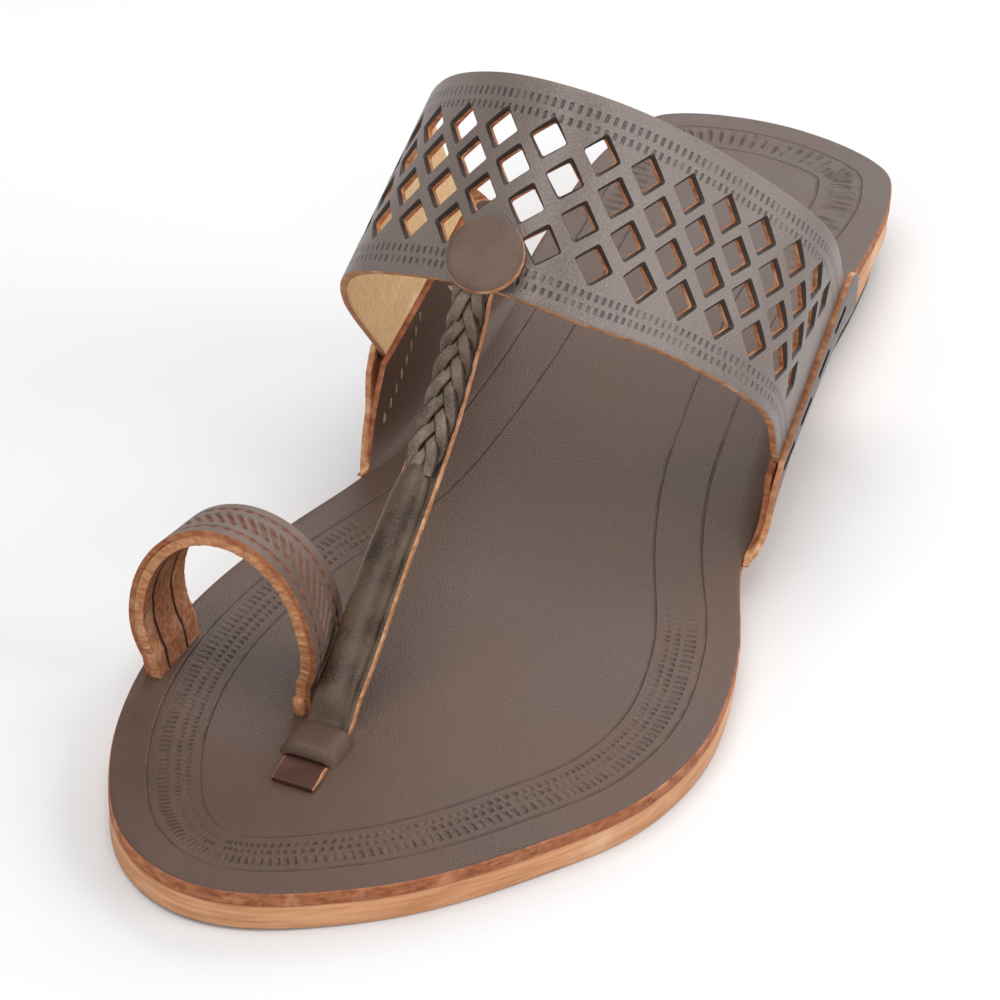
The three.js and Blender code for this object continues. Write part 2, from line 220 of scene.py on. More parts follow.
def shadeSmooth(piece, sharp):
    piece.data.polygons.foreach_set("use_smooth", [True] * len(piece.data.polygons))
    piece.data.set_sharp_from_angle(angle=math.radians(sharp))


def freeze(piece, sharp=35):
    # turns the live modifiers into the piece's own mesh
    graph = bpy.context.evaluated_depsgraph_get()
    done = bpy.data.meshes.new_from_object(piece.evaluated_get(graph), depsgraph=graph)
    rough = piece.data
    piece.modifiers.clear()
    piece.data = done
    bpy.data.meshes.remove(rough)
    shadeSmooth(piece, sharp)


def faceTowards(piece, direction):
    # turns the front of a sheet to face a direction, before it gets its wall
    if sum(p.normal.dot(direction) * p.area for p in piece.data.polygons) < 0:
        piece.data.flip_normals()


def thicken(piece, wall, offset=0.0, rim=2, edge=0.25, even=True):
    # gives a sheet its wall: the back is the piece's second material, and rim numbers the cut edge's
    wallStep = piece.modifiers.new("wall", "SOLIDIFY")
    wallStep.thickness = wall * mm
    wallStep.offset = offset
    wallStep.use_even_offset = even
    wallStep.material_offset = 1
    wallStep.material_offset_rim = rim
    if edge:
        roundStep = piece.modifiers.new("edge", "BEVEL")
        roundStep.width = edge * mm
        roundStep.segments = 2
        roundStep.limit_method = "ANGLE"
        roundStep.angle_limit = math.radians(50)
        roundStep.material = -1
    freeze(piece)


def punchHoles(piece, punchMesh, places):
    # cuts one hole of the punch's shape at each place, a matrix whose +Z looks out of the leather
    cutters = bmesh.new()
    for spot in places:
        before = set(cutters.verts)
        cutters.from_mesh(punchMesh)
        fresh = [vert for vert in cutters.verts if vert not in before]
        bmesh.ops.transform(cutters, matrix=spot, verts=fresh)
    cutMesh = bpy.data.meshes.new("punches")
    cutters.to_mesh(cutMesh)
    cutters.free()
    for material in punchMesh.materials:
        cutMesh.materials.append(material)
    cutObject = bpy.data.objects.new("punches", cutMesh)
    scene.collection.objects.link(cutObject)
    punching = piece.modifiers.new("punched", "BOOLEAN")
    punching.operation = "DIFFERENCE"
    punching.object = cutObject
    punching.solver = "EXACT"
    punching.material_mode = "TRANSFER"
    freeze(piece, 40)
    bpy.data.objects.remove(cutObject)


def stand(here, along, outward):
    # a matrix that stands a punch on the leather: X runs along, Z looks outward
    across = outward.cross(along).normalized()
    turn = Matrix((along * mm, across * mm, outward * mm)).transposed().to_4x4()
    return Matrix.Translation(place(here.x, here.y, here.z)) @ turn


def outlineLoop(inset, count=240):
    # points round the sole, pulled in by inset, anticlockwise from above
    points = []
    for k in range(count):
        angle = 2 * math.pi * k / count
        y = -math.cos(angle) * soleLength / 2
        side = 1 if angle < math.pi else -1
        limit = soleLength / 2 - 0.02
        points.append(Vector((edgeX(side, min(max(y, -limit), limit)), y, 0)))
    middle = [(points[k - 1] + points[(k + 1) % count]) / 2 for k in range(count)]
    for k in (0, count // 2):
        points[k].x = middle[k].x
    if inset:
        moved = []
        for k in range(count):
            run = (points[(k + 1) % count] - points[k - 1]).normalized()
            pull = inset(points[k].y) if callable(inset) else inset
            moved.append(points[k] + Vector((-run.y, run.x, 0)) * pull)
        points = moved
    return points


def solePlate(inset, topAt, bottomAt, cell, edge, breast=None):
    # a flat plate with the sole's outline, cut into cells, then bent to its heights
    points = outlineLoop(inset)
    bm = bmesh.new()
    bmesh.ops.create_circle(bm, cap_ends=True, segments=len(points), radius=1)
    bm.verts.ensure_lookup_table()
    ring = sorted(bm.verts, key=lambda v: math.atan2(v.co.x, -v.co.y) % (2 * math.pi))
    for vert, point in zip(ring, points):
        vert.co = point
    bmesh.ops.recalc_face_normals(bm, faces=bm.faces)
    if bm.faces[0].normal.z < 0:
        bmesh.ops.reverse_faces(bm, faces=bm.faces)
    wall = 10.0
    extruded = bmesh.ops.extrude_face_region(bm, geom=bm.faces[:])
    lowered = [g for g in extruded["geom"] if isinstance(g, bmesh.types.BMVert)]
    bmesh.ops.translate(bm, verts=lowered, vec=(0, 0, -wall))
    bmesh.ops.recalc_face_normals(bm, faces=bm.faces)
    if breast is not None:
        geom = bm.verts[:] + bm.edges[:] + bm.faces[:]
        cut = bmesh.ops.bisect_plane(
            bm, geom=geom, plane_co=(0, breast, 0), plane_no=(0, -1, 0), clear_outer=True)
        rim = [g for g in cut["geom_cut"] if isinstance(g, bmesh.types.BMEdge)]
        bmesh.ops.edgeloop_fill(bm, edges=rim)
        bmesh.ops.recalc_face_normals(bm, faces=bm.faces)
    # the rounded edge is cut in heights that are scaled with the plate afterwards
    flatFaces = [f for f in bm.faces if abs(f.normal.z) > 0.9]
    rims = list({e for f in flatFaces for e in f.edges})
    bmesh.ops.bevel(
        bm, geom=rims, offset=edge, offset_type="OFFSET", affect="EDGES",
        segments=3, profile=0.5, material=-1)
    for axis in (0, 1):
        reach = (ballWidth if axis == 0 else soleLength) / 2 + 12
        steps = int(2 * reach / cell)
        for k in range(1, steps):
            where = [0, 0, 0]
            where[axis] = -reach + 2 * reach * k / steps
            facing = [0, 0, 0]
            facing[axis] = 1
            geom = bm.verts[:] + bm.edges[:] + bm.faces[:]
            bmesh.ops.bisect_plane(bm, geom=geom, plane_co=where, plane_no=facing)
    for face in bm.faces:
        face.material_index = 0 if face.normal.z > 0.75 else (2 if face.normal.z < -0.75 else 1)
    for vert in bm.verts:
        x, y, z = vert.co
        top, bottom = topAt(y), bottomAt(y)
        if -edge * 1.01 < z:
            height = top + z
        elif z < -wall + edge * 1.01:
            height = bottom + (z + wall)
        else:
            height = mix(bottom, top, (z + wall) / wall)
        vert.co = place(x, y, height)
    return bm


def sweepMesh(path, around, profileAt):
    # a closed tube of leather along a path of (point, right, up) rows
    last = len(path) - 1
    length = [0.0]
    for k in range(last):
        length.append(length[-1] + (path[k + 1][0] - path[k][0]).length)

    def placeAt(u, v):
        k = round(u * last)
        here, right, up = path[k]
        x, h = profileAt(u, v)
        spot = here + right * x + up * h
        return place(spot.x, spot.y, spot.z)

    def uvAt(u, v):
        return length[round(u * last)], v * 10

    bm = gridMesh(last, around, placeAt, uvAt)
    bmesh.ops.remove_doubles(bm, verts=bm.verts, dist=0.01 * mm)
    ends = [e for e in bm.edges if e.is_boundary]
    if ends:
        bmesh.ops.holes_fill(bm, edges=ends)
    bmesh.ops.recalc_face_normals(bm, faces=bm.faces)
    return bm


# leathers: every node comes from addNode, and each pattern gives its pressed height, its stain (painted
# shade on the plait's strands) and depth

eased = {"interpolation_type": "SMOOTHSTEP"}


def paint(code):
    # sRGB hex to the linear colour that the shader wants
    parts = [int(code[k:k + 2], 16) / 255 for k in (0, 2, 4)]
    return tuple(p / 12.92 if p <= 0.04045 else ((p + 0.055) / 1.055) ** 2.4 for p in parts) + (1.0,)


def addNode(tree, kind, inputs=None, out=0, **settings):
    # a node with its settings, fed by plain values or by the outputs of other nodes
    node = tree.nodes.new(kind)
    for key, value in settings.items():
        setattr(node, key, value)
    for socket, value in (inputs or {}).items():
        if isinstance(value, bpy.types.NodeSocket):
            tree.links.new(value, node.inputs[socket])
        else:
            node.inputs[socket].default_value = value
    return node.outputs[out]


def startMaterial(name):
    material = bpy.data.materials.new(name)
    material.use_nodes = True
    tree = material.node_tree
    shader = next(n for n in tree.nodes if n.type == "BSDF_PRINCIPLED")
    return material, tree, shader


def pressStainAndShade(tree, pattern, bump, tone, stainAndShade):
    # lays a pattern over the plain leather: dents in the surface, darker in their bottoms, a stain in
    # tooled marks and painted shade along the plait's strands
    pressed, stainedAndShaded, depth = pattern(tree)
    bump = addNode(tree, "ShaderNodeBump",
                   {"Height": pressed, "Distance": depth * mm, "Strength": 1.0, "Normal": bump},
                   invert=True)
    tone = addNode(tree, "ShaderNodeMix", {0: stainedAndShaded, 6: tone, 7: paint(stainAndShade)}, 2, data_type="RGBA")
    return bump, tone


def grainedLeather(name, look, pattern=None):
    # vegetable-tanned cowhide, oiled and rubbed: fine pebbled grain, soft mottling, low satin sheen
    material, tree, shader = startMaterial(name)
    spot = addNode(tree, "ShaderNodeTexCoord", None, "Object")
    cloud = addNode(tree, "ShaderNodeTexNoise",
                    {"Vector": spot, "Scale": 1 / (look["cloudMm"] * mm), "Detail": 4.0})
    speck = addNode(tree, "ShaderNodeTexNoise",
                    {"Vector": spot, "Scale": 1 / (look["grainMm"] * mm), "Detail": 3.0})
    pores = addNode(tree, "ShaderNodeTexVoronoi",
                    {"Vector": spot, "Scale": 1 / (look["grainMm"] * 1.6 * mm)},
                    feature="DISTANCE_TO_EDGE")
    mottle = addNode(tree, "ShaderNodeMapRange", {0: cloud, 1: 0.3, 2: 0.7}, **eased)
    tone = addNode(tree, "ShaderNodeMix", {0: mottle, 6: paint(look["dark"]), 7: paint(look["base"])}, 2,
                   data_type="RGBA")
    rubbed = addNode(tree, "ShaderNodeMapRange", {0: speck, 1: 0.45, 2: 0.8, 4: look["fleck"]}, **eased)
    tone = addNode(tree, "ShaderNodeMix", {0: rubbed, 6: tone, 7: paint(look["light"])}, 2,
                   data_type="RGBA")
    pebbles = addNode(tree, "ShaderNodeMapRange", {0: pores, 1: 0.0, 2: 0.25}, **eased)
    grain = addNode(tree, "ShaderNodeMath", {0: pebbles, 1: speck}, operation="ADD")
    bump = addNode(tree, "ShaderNodeBump",
                   {"Height": grain, "Distance": look["depthMm"] * mm, "Strength": 1.0})
    if pattern:
        bump, tone = pressStainAndShade(tree, pattern, bump, tone, look["stainAndShade"])
    rough = addNode(tree, "ShaderNodeMapRange",
                    {0: cloud, 1: 0.3, 2: 0.75, 3: look["rough"] - 0.05, 4: look["rough"] + 0.06}, **eased)
    tree.links.new(tone, shader.inputs["Base Color"])
    tree.links.new(rough, shader.inputs["Roughness"])
    tree.links.new(bump, shader.inputs["Normal"])
    shader.inputs["Specular IOR Level"].default_value = look["gloss"]
    shader.inputs["IOR"].default_value = 1.5
    return material


def rawLeather(name, look, pattern=None):
    # cut or split leather with no grain layer: matt, fibrous, streaked along its layers
    material, tree, shader = startMaterial(name)
    spot = addNode(tree, "ShaderNodeTexCoord", None, "Object")
    stretched = addNode(tree, "ShaderNodeMapping", {"Vector": spot, "Scale": look["stretch"]})
    streak = addNode(tree, "ShaderNodeTexNoise",
                     {"Vector": stretched, "Scale": 1 / (look["streakMm"] * mm), "Detail": 5.0,
                      "Roughness": 0.6})
    cloud = addNode(tree, "ShaderNodeTexNoise",
                    {"Vector": spot, "Scale": 1 / (look["cloudMm"] * mm), "Detail": 3.0})
    layers = addNode(tree, "ShaderNodeMapRange", {0: streak, 1: 0.3, 2: 0.7}, **eased)
    tone = addNode(tree, "ShaderNodeMix", {0: layers, 6: paint(look["dark"]), 7: paint(look["base"])}, 2,
                   data_type="RGBA")
    patches = addNode(tree, "ShaderNodeMapRange", {0: cloud, 1: 0.5, 2: 0.75, 4: look["patch"]}, **eased)
    tone = addNode(tree, "ShaderNodeMix", {0: patches, 6: tone, 7: paint(look["light"])}, 2,
                   data_type="RGBA")
    bump = addNode(tree, "ShaderNodeBump",
                   {"Height": streak, "Distance": look["depthMm"] * mm, "Strength": 1.0})
    if pattern:
        bump, tone = pressStainAndShade(tree, pattern, bump, tone, look["stainAndShade"])
    tree.links.new(tone, shader.inputs["Base Color"])
    tree.links.new(bump, shader.inputs["Normal"])
    shader.inputs["Roughness"].default_value = look["rough"]
    shader.inputs["Specular IOR Level"].default_value = look["gloss"]
    return material


# tooling: u runs along the leather and v across it, both in millimetres

def uvParts(tree):
    uv = addNode(tree, "ShaderNodeUVMap", uv_map="leather")
    parts = addNode(tree, "ShaderNodeSeparateXYZ", {0: uv}).node.outputs
    return parts[0], parts[1]


def pressedLine(tree, v, centre, half, soft):
    # 1 where v is within half of centre, fading out over soft
    away = addNode(tree, "ShaderNodeMath", {0: v, 1: centre}, operation="SUBTRACT")
    away = addNode(tree, "ShaderNodeMath", {0: away}, operation="ABSOLUTE")
    return addNode(tree, "ShaderNodeMapRange", {0: away, 1: half, 2: half + soft, 3: 1.0, 4: 0.0}, **eased)


def punchMarks(tree, u, pitch, half, soft, start=0.0):
    # 1 on each mark of a row, with a mark at every pitch
    moved = addNode(tree, "ShaderNodeMath", {0: u, 1: start}, operation="ADD")
    away = addNode(tree, "ShaderNodeMath", {0: moved, 1: pitch / 2}, operation="PINGPONG")
    return addNode(tree, "ShaderNodeMapRange", {0: away, 1: half, 2: half + soft, 3: 1.0, 4: 0.0}, **eased)


def wornAway(tree, scale, detail, low, high, least):
    # stretches where the tool went in less, or where wear has flattened its marks
    spot = addNode(tree, "ShaderNodeTexCoord", None, "Object")
    noise = addNode(tree, "ShaderNodeTexNoise", {"Vector": spot, "Scale": scale, "Detail": detail})
    return addNode(tree, "ShaderNodeMapRange", {0: noise, 1: low, 2: high, 3: least}, **eased)


footbedMarks = {  # v is the distance in from the edge of the footbed
    "lines": (6.3, 15.2), "lineHalf": 0.05, "lineSoft": 0.3, "lineDepth": (0.35, 0.7),
    "rows": ((8.8, 0.65, 0.5, 0.0), (11.2, 0.1, 0.6, 0.0), (13.0, 0.1, 0.6, 0.85)),
    "pitch": 1.7, "half": 0.1, "toesEnd": (-0.038, -0.026),
    "rays": (10.2, 0.9, 3.2), "rayPitch": 2.9, "raySoft": 1.3, "heelStart": (0.070, 0.082),
    "depth": 0.3, "stainAndShade": (0.15, 0.4),
}


def footbedTooling(tree):
    # two lines go right round; between them a row of bars and two of dots at the toes, rays at the heel
    marks = footbedMarks
    u, v = uvParts(tree)
    spot = addNode(tree, "ShaderNodeTexCoord", None, "Object")
    lengthY = addNode(tree, "ShaderNodeSeparateXYZ", {0: spot}, 1)
    low, high = marks["toesEnd"]
    toes = addNode(tree, "ShaderNodeMapRange", {0: lengthY, 1: low, 2: high, 3: 1.0, 4: 0.0}, **eased)
    low, high = marks["heelStart"]
    heelEnd = addNode(tree, "ShaderNodeMapRange", {0: lengthY, 1: low, 2: high}, **eased)
    worn = wornAway(tree, 240.0, 3.0, 0.36, 0.6, 0.25)
    lines = forefoot = 0.0
    for centre in marks["lines"]:
        line = pressedLine(tree, v, centre, marks["lineHalf"], marks["lineSoft"])
        lines = addNode(tree, "ShaderNodeMath", {0: lines, 1: line}, operation="MAXIMUM")
    for centre, half, soft, start in marks["rows"]:
        row = pressedLine(tree, v, centre, half, soft)
        beats = punchMarks(tree, u, marks["pitch"], marks["half"], soft, start)
        row = addNode(tree, "ShaderNodeMath", {0: row, 1: beats}, operation="MULTIPLY")
        forefoot = addNode(tree, "ShaderNodeMath", {0: forefoot, 1: row}, operation="MAXIMUM")
    forefoot = addNode(tree, "ShaderNodeMath", {0: forefoot, 1: toes}, operation="MULTIPLY")
    rays = addNode(tree, "ShaderNodeMath", {
        0: pressedLine(tree, v, *marks["rays"]),
        1: punchMarks(tree, u, marks["rayPitch"], 0.0, marks["raySoft"])}, operation="MULTIPLY")
    rays = addNode(tree, "ShaderNodeMath", {0: rays, 1: heelEnd}, operation="MULTIPLY")
    tooled = addNode(tree, "ShaderNodeMath", {0: forefoot, 1: rays}, operation="MAXIMUM")
    tooled = addNode(tree, "ShaderNodeMath", {0: tooled, 1: worn}, operation="MULTIPLY")
    low, high = marks["lineDepth"]
    lineWear = addNode(tree, "ShaderNodeMapRange", {0: worn, 3: low, 4: high}, **eased)
    lines = addNode(tree, "ShaderNodeMath", {0: lines, 1: lineWear}, operation="MULTIPLY")
    pressed = addNode(tree, "ShaderNodeMath", {0: lines, 1: tooled}, operation="MAXIMUM")
    low, high = marks["stainAndShade"]
    stainWear = addNode(tree, "ShaderNodeMapRange", {0: worn, 3: low, 4: high}, **eased)
    stainedAndShaded = addNode(tree, "ShaderNodeMath", {0: pressed, 1: stainWear}, operation="MULTIPLY")
    return pressed, stainedAndShaded, marks["depth"]


bandMarks = {  # rows of dashes, each with its distance from the band's front edge and half its length
    "rows": ((2.7, 0.45), (4.9, 0.5), (33.0, 0.5), (35.6, 0.6)),
    "pitch": 1.5, "half": 0.12, "soft": (0.3, 0.25), "depth": 0.35, "stainAndShade": 0.8,
}


def bandTooling(tree):
    # two rows of short dashes along each edge of the band, every second row half a step on
    marks = bandMarks
    u, v = uvParts(tree)
    worn = wornAway(tree, 300.0, 2.0, 0.35, 0.55, 0.45)
    dashes = 0.0
    for k, (centre, half) in enumerate(marks["rows"]):
        row = pressedLine(tree, v, centre, half, marks["soft"][0])
        beats = punchMarks(tree, u, marks["pitch"], marks["half"], marks["soft"][1],
                           marks["pitch"] / 2 * k)
        row = addNode(tree, "ShaderNodeMath", {0: row, 1: beats}, operation="MULTIPLY")
        dashes = addNode(tree, "ShaderNodeMath", {0: dashes, 1: row}, operation="MAXIMUM")
    pressed = addNode(tree, "ShaderNodeMath", {0: dashes, 1: worn}, operation="MULTIPLY")
    stainedAndShaded = addNode(tree, "ShaderNodeMath", {0: pressed, 1: marks["stainAndShade"]}, operation="MULTIPLY")
    return pressed, stainedAndShaded, marks["depth"]


def strandShade(tree):
    # painted shade darkens each strand along its edges, at v 0, 5 and 10, so their tops read lighter
    _, v = uvParts(tree)
    edges = 0.0
    for centre in (0, 5, 10):
        line = pressedLine(tree, v, centre, 0.8, 1.0)
        edges = addNode(tree, "ShaderNodeMath", {0: edges, 1: line}, operation="MAXIMUM")
    return edges, edges, 0.05


def liningSeams(tree):
    # two sewn lines, 4.2 and 10.8 across, have drawn the lining into dark, wavering grooves
    _, v = uvParts(tree)
    spot = addNode(tree, "ShaderNodeTexCoord", None, "Object")
    waver = addNode(tree, "ShaderNodeTexNoise", {"Vector": spot, "Scale": 300.0, "Detail": 2.0})
    moved = addNode(tree, "ShaderNodeMath", {0: waver, 1: 1.4}, operation="MULTIPLY")
    moved = addNode(tree, "ShaderNodeMath", {0: v, 1: moved}, operation="ADD")
    grooves = 0.0
    for centre in (4.2, 10.8):
        line = pressedLine(tree, moved, centre, 0.12, 0.4)
        grooves = addNode(tree, "ShaderNodeMath", {0: grooves, 1: line}, operation="MAXIMUM")
    return grooves, grooves, 0.5


ringPattern = {  # slanted gaps down the middle of the ring's width and a seam along either side
    "width": 15.0, "pitch": 2.6, "slant": 0.85, "reach": 2.1, "seam": 2.7, "deep": 0.42, "stainAndShade": 0.75,
}


def ringTooling(tree):
    # red-brown shows in the gaps between the slanted bars and along the two sewn lines
    u, v = uvParts(tree)
    bend = addNode(tree, "ShaderNodeMath", {0: v, 1: ringPattern["slant"]}, operation="MULTIPLY")
    slanted = addNode(tree, "ShaderNodeMath", {0: u, 1: bend}, operation="ADD")
    gaps = addNode(tree, "ShaderNodeMath", {
        0: pressedLine(tree, v, ringPattern["width"] / 2, ringPattern["reach"], 0.4),
        1: punchMarks(tree, slanted, ringPattern["pitch"], 0.3, 0.4)}, operation="MULTIPLY")
    seams = 0.0
    for centre in (ringPattern["seam"], ringPattern["width"] - ringPattern["seam"]):
        line = pressedLine(tree, v, centre, 0.2, 0.35)
        seams = addNode(tree, "ShaderNodeMath", {0: seams, 1: line}, operation="MAXIMUM")
    stainedAndShaded = addNode(tree, "ShaderNodeMath", {0: gaps, 1: seams}, operation="MAXIMUM")
    stainedAndShaded = addNode(tree, "ShaderNodeMath", {0: stainedAndShaded, 1: ringPattern["stainAndShade"]}, operation="MULTIPLY")
    return seams, stainedAndShaded, 0.2


darkHide = {
    "base": "533e33", "dark": "47342a", "light": "665246", "stainAndShade": "2b1f19", "cloudMm": 30.0,
    "grainMm": 0.45, "depthMm": 0.02, "fleck": 0.25, "rough": 0.48, "gloss": 0.35,
}

# the same brown hide all over, in darker, greyer and redder variants; the band's greyer base is partly
# painted sheen, and the hole rims' dark is painted shade
insoleLeather = grainedLeather("brownGrainLeather", darkHide, footbedTooling)
# partly painted sheen: the band's base is greyed toward the grey sheen of the back light, on top of its
# real gloss
bandLeather = grainedLeather("brownBandLeather", dict(
    darkHide, base="736660", dark="62554f", light="918379", grainMm=0.5, depthMm=0.035, rough=0.42,
    gloss=0.6, stainAndShade="2c2320"), bandTooling)
holeRimShade = grainedLeather("paintedShadeHoleRim", dict(  # painted shade: dark where the punch turned the grain down into the hole
    darkHide, base="33261f", dark="281d18", light="4a3b33", grainMm=0.5, rough=0.5))
ringLeather = grainedLeather("brownRingLeather", dict(
    darkHide, base="6e5b50", dark="57463d", stainAndShade="7a4029", grainMm=0.45), ringTooling)
strapLeather = grainedLeather("brownStrapLeather", dict(
    darkHide, base="594839", dark="35261c", light="776656", cloudMm=7.0, fleck=0.3, rough=0.36))
tabLeather = grainedLeather("redBrownTabLeather", dict(
    darkHide, base="4a2a1f", dark="3c2118", light="5e3b2e", cloudMm=5.0, fleck=0.2, rough=0.5))
# thongs of the plait: pale on top, with painted shade along each strand's sides that draws it
plaitLeather = grainedLeather("brownPlaitLeather", dict(
    darkHide, base="776758", dark="4f4034", light="9c8e7e", cloudMm=5.0, fleck=0.3, rough=0.36,
    depthMm=0.04, stainAndShade="25150f"), strandShade)
earLeather = grainedLeather("brownEarLeather", dict(
    darkHide, base="6a5d57", dark="574b46", light="857872", grainMm=0.6, rough=0.45))
buttonLeather = grainedLeather("brownButtonLeather", dict(
    darkHide, base="644f42", dark="554236", light="756051", cloudMm=7.0, grainMm=0.4, depthMm=0.03,
    rough=0.52))

cutEdge = {  # the undyed core of the hide, bared by the knife: warm, matt and fibrous
    "base": "c08a62", "dark": "96603f", "light": "dab38e", "stretch": (0.35, 0.35, 1.0), "streakMm": 0.9,
    "cloudMm": 4.0, "patch": 0.6, "depthMm": 0.08, "rough": 0.75, "gloss": 0.25,
}
tanEdge = rawLeather("tanCutEdge", cutEdge)
redEdge = rawLeather("redBrownCutEdge", dict(cutEdge, base="a56846", dark="7b452c", light="c08a68"))
punchedWall = rawLeather("tanPunchedWall", dict(cutEdge, base="bb7f56", dark="8d5230", light="dcb08a"))
# the hide's inner side, pale and napped
fleshSide = rawLeather("tanFleshSide", dict(
    cutEdge, base="eac699", dark="d9b07e", light="f3dcb8", stretch=(1, 1, 0.5), streakMm=0.7, cloudMm=8.0,
    depthMm=0.05))
ringLining = rawLeather("tanSuedeLining", dict(
    cutEdge, base="b9835f", dark="93583a", light="d9ae8c", stretch=(1, 1, 1), streakMm=0.9, depthMm=0.2,
    stainAndShade="3a1c12"), liningSeams)
# bend leather of the sole: its side shows long, flat layers with a slight burnish
soleSide = rawLeather("orangeTanSoleLeather", dict(
    cutEdge, base="cc976e", dark="ae774f", light="dcb48f", stretch=(0.06, 0.06, 1.0), streakMm=0.8,
    cloudMm=14.0, patch=0.6, depthMm=0.05, rough=0.55, gloss=0.35))
soleUnder = rawLeather("tanSoleUnderside", dict(
    cutEdge, base="c08b60", dark="a87247", light="d3a67c", stretch=(1, 1, 1), streakMm=3.0,
    cloudMm=18.0, depthMm=0.05, rough=0.6))
# moulded rubber: near black, dull, with hardly any grain
heelRubber = rawLeather("blackHeelRubber", dict(
    cutEdge, base="2c2f31", dark="232527", light="3b3e40", stretch=(1, 1, 1), streakMm=1.0, cloudMm=9.0,
    depthMm=0.05, rough=0.7, gloss=0.4))
# waxed linen thread, and near-black painted shade on the cut walls of the lace slots and the thread eye
thread = rawLeather("waxedThread", dict(
    cutEdge, base="94806a", dark="6d5c4a", light="ab9880", stretch=(1, 1, 1), streakMm=0.5, cloudMm=3.0,
    depthMm=0.04, rough=0.6))
slotWallShade = rawLeather("paintedShadeSlotWall", dict(
    cutEdge, base="2b211d", dark="1d1613", light="3a2d27", stretch=(1, 1, 1), streakMm=0.8, cloudMm=3.0,
    depthMm=0.04, rough=0.7))
print("materials ready")

# sole and heel: the footbed, the outsole under it, two lifts and the rubber that meets the floor
footbed = {"cell": 2.0, "edge": 0.45, "waistShift": 3.9, "edgePoints": 2400}
footbedMesh = solePlate(0.0, insoleTop, outsoleTop, footbed["cell"], footbed["edge"])
edgePoints = outlineLoop(0.0, footbed["edgePoints"])
edgeTree = KDTree(len(edgePoints))
for k, point in enumerate(edgePoints):
    edgeTree.insert((point.x, point.y, 0), k)
edgeTree.balance()
way = [0.0]  # distance round the edge from the toe tip to each point, as far as the heel
for k in range(1, len(edgePoints) // 2 + 1):
    way.append(way[-1] + (edgePoints[k] - edgePoints[k - 1]).length)
toolingLayer = footbedMesh.loops.layers.uv.new("leather")
for face in footbedMesh.faces:
    for loop in face.loops:
        x, y = loop.vert.co.x / mm - lineX, loop.vert.co.y / mm
        _, index, distance = edgeTree.find((x, y, 0))
        # the tooling swings in from the edge along the outer side of the waist
        waist = smoothStep(y, -28, 14) * (1 - smoothStep(y, 60, 110)) if x > 0 else 0.0
        along = way[min(index, len(edgePoints) - index)]
        loop[toolingLayer].uv = (along, distance - footbed["waistShift"] * waist)
makePiece("insoleLeather", footbedMesh, [insoleLeather, redEdge, soleUnder], "insole")


def waistInset(y):
    return 0.15 + 1.6 * smoothStep(y, -25, 0) * (1 - smoothStep(y, 50, 75))


outsoleMesh = solePlate(waistInset, lambda y: outsoleTop(y) - 0.02, underside, 9.0, 0.5)
makePiece("outsoleLeather", outsoleMesh, [soleUnder, soleSide, soleUnder], "outsole")

heel = {"breast": 54.0, "topLift": 2.5, "lifts": 2, "taper": 0.16, "edge": 0.3, "cell": 12.0}
liftStep = (sole["heelRise"] - heel["topLift"]) / heel["lifts"]


def heelInset(height):
    return 0.6 + heel["taper"] * (sole["heelRise"] - height)


topLiftMesh = solePlate(heelInset(0), lambda y: heel["topLift"], lambda y: 0.0,
                        heel["cell"], 0.35, heel["breast"])
makePiece("heelTopLift", topLiftMesh, [heelRubber] * 3, "heel_top_lift")
for k in range(heel["lifts"]):
    low = heel["topLift"] + k * liftStep + 0.05
    liftMesh = solePlate(heelInset(low), lambda y: min(low + liftStep - 0.05, underside(y) - 0.04),
                         lambda y: low, heel["cell"], heel["edge"], heel["breast"])
    makePiece("heelLift" + str(k + 1), liftMesh, [soleUnder, soleSide, soleUnder],
              "heel_lift_" + str(k + 1))
print("sole and heel ready")

# ears: the footbed folds up at the waist, and a second leather lies outside each fold
fold = {"rootRows": 8, "sideRows": 14, "columns": 44, "sink": 0.05}


def innerEarPlace(ear):
    side = ear["side"]
    rows = fold["rootRows"] + fold["sideRows"]

    def placeAt(u, v):
        _, _, low = earPlace(ear, u, 0)
        high = column(ear, "t", "z", u)
        top = 1 - ear["innerDrop"] * (1 - smoothStep(u, 0.84, 1)) / (high - low)
        radius = mix(0.3, ear["bend"], math.sin(math.pi * min(max(u, 0), 1)) ** 0.6)
        k = v * rows
        turn = min(k / fold["rootRows"], 1.0) * math.pi / 2
        start = radius / (high - low)
        if k <= fold["rootRows"]:
            z = low - fold["sink"] + (radius + fold["sink"]) * (1 - math.cos(turn))
            j = max(z - low, 0.0) / (high - low)
            inward = radius * (1 - math.sin(turn))
        else:
            j = mix(start, top, (k - fold["rootRows"]) / fold["sideRows"])
            z = mix(low, high, j)
            inward = 0.0
        footY, y, _ = earPlace(ear, u, j)
        x = innerEarX(ear, u, j, footY) - side * (earWall / 2 + inward)
        return place(x, y, z)

    return placeAt


skirt = {"hang": 2.4, "swing": (0.35, 0.8), "rows": 20}


def outerEarSpot(ear, t, v):
    # v runs from the hanging lower edge, over the edge of the sole at the first row, to the rim
    side = ear["side"]
    row = v * skirt["rows"]
    j = max(0.0, (row - 1) / (skirt["rows"] - 1)) ** 1.6
    footY, y, z = earPlace(ear, t, j)
    hug = side * innerEarX(ear, t, j, footY) + earWall + slantGap
    rest = side * legX(side, t) + (bandWall + earWall) / 2 + slantGap
    swing = smoothStep(j, *skirt["swing"]) * (1 - smoothStep(t, 0.84, 1))
    hang = skirt["hang"] * smoothStep(t, -0.02, 0.07)
    return Vector((side * mix(hug, rest, swing), y, z - hang * max(0.0, 1 - row)))


def outerEarPlace(ear):
    def placeAt(u, v):
        spot = outerEarSpot(ear, u, v)
        return place(spot.x, spot.y, spot.z)

    return placeAt


